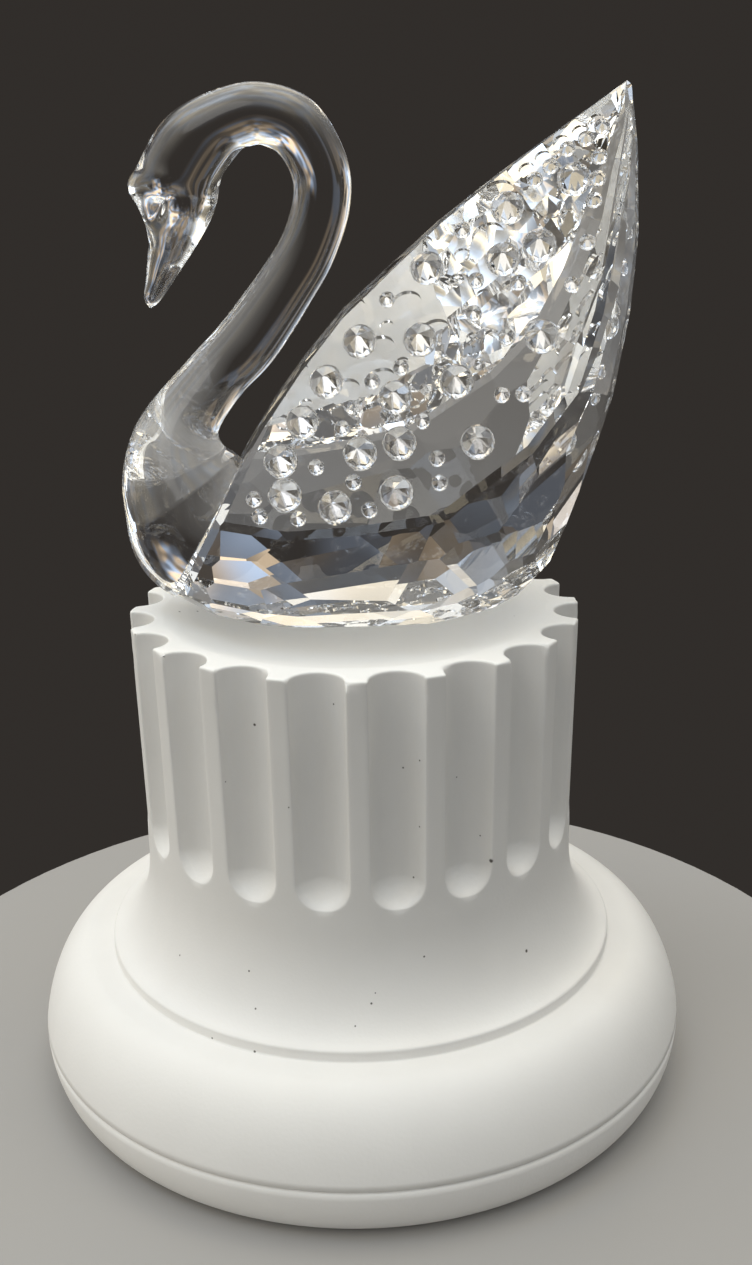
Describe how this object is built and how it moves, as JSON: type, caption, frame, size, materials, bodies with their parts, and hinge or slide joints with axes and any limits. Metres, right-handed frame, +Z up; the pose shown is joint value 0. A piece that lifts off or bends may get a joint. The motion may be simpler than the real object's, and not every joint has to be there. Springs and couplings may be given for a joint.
{
  "type": "crystal swan figurine on a fluted pedestal",
  "caption": "Clear crystal swan with a curved neck and two flat wings set with round-cut stones, resting in the shallow dish on top of a white fluted column pedestal.",
  "frame": {"origin": "centre of the pedestal's underside, on the column's axis", "axes": "+Z up; the swan looks along -X; y = 0 is its plane of symmetry, with its left wing on the -Y side"},
  "size_m": [0.0712, 0.0712, 0.103],
  "materials": {
    "white_cast": "matte white casting, slightly pitted",
    "clear_crystal": "polished clear crystal"
  },
  "bodies": {
    "root": {"pedestal": "white_cast", "faceted_body": "clear_crystal", "neck_and_breast": "clear_crystal", "wing_stone_left_01": "clear_crystal", "wing_stone_left_02": "clear_crystal", "wing_stone_left_03": "clear_crystal", "wing_stone_left_04": "clear_crystal", "wing_stone_left_05": "clear_crystal", "wing_stone_left_06": "clear_crystal", "wing_stone_left_07": "clear_crystal", "wing_stone_left_08": "clear_crystal", "wing_stone_left_09": "clear_crystal", "wing_stone_left_10": "clear_crystal", "wing_stone_left_11": "clear_crystal", "wing_stone_left_12": "clear_crystal", "wing_stone_left_13": "clear_crystal", "wing_stone_left_14": "clear_crystal", "wing_stone_left_15": "clear_crystal", "wing_stone_left_16": "clear_crystal", "wing_stone_left_17": "clear_crystal", "wing_stone_left_18": "clear_crystal", "wing_stone_left_19": "clear_crystal", "wing_stone_right_01": "clear_crystal", "wing_stone_right_02": "clear_crystal", "wing_stone_right_03": "clear_crystal", "wing_stone_right_04": "clear_crystal", "wing_stone_right_05": "clear_crystal", "wing_stone_right_06": "clear_crystal", "wing_stone_right_07": "clear_crystal", "wing_stone_right_08": "clear_crystal", "wing_stone_right_09": "clear_crystal", "wing_stone_right_10": "clear_crystal", "wing_stone_right_11": "clear_crystal", "wing_stone_right_12": "clear_crystal", "wing_stone_right_13": "clear_crystal", "wing_stone_right_14": "clear_crystal", "wing_stone_right_15": "clear_crystal", "wing_stone_right_16": "clear_crystal", "wing_stone_right_17": "clear_crystal", "wing_stone_right_18": "clear_crystal", "wing_stone_right_19": "clear_crystal"}
  },
  "joints": []
}
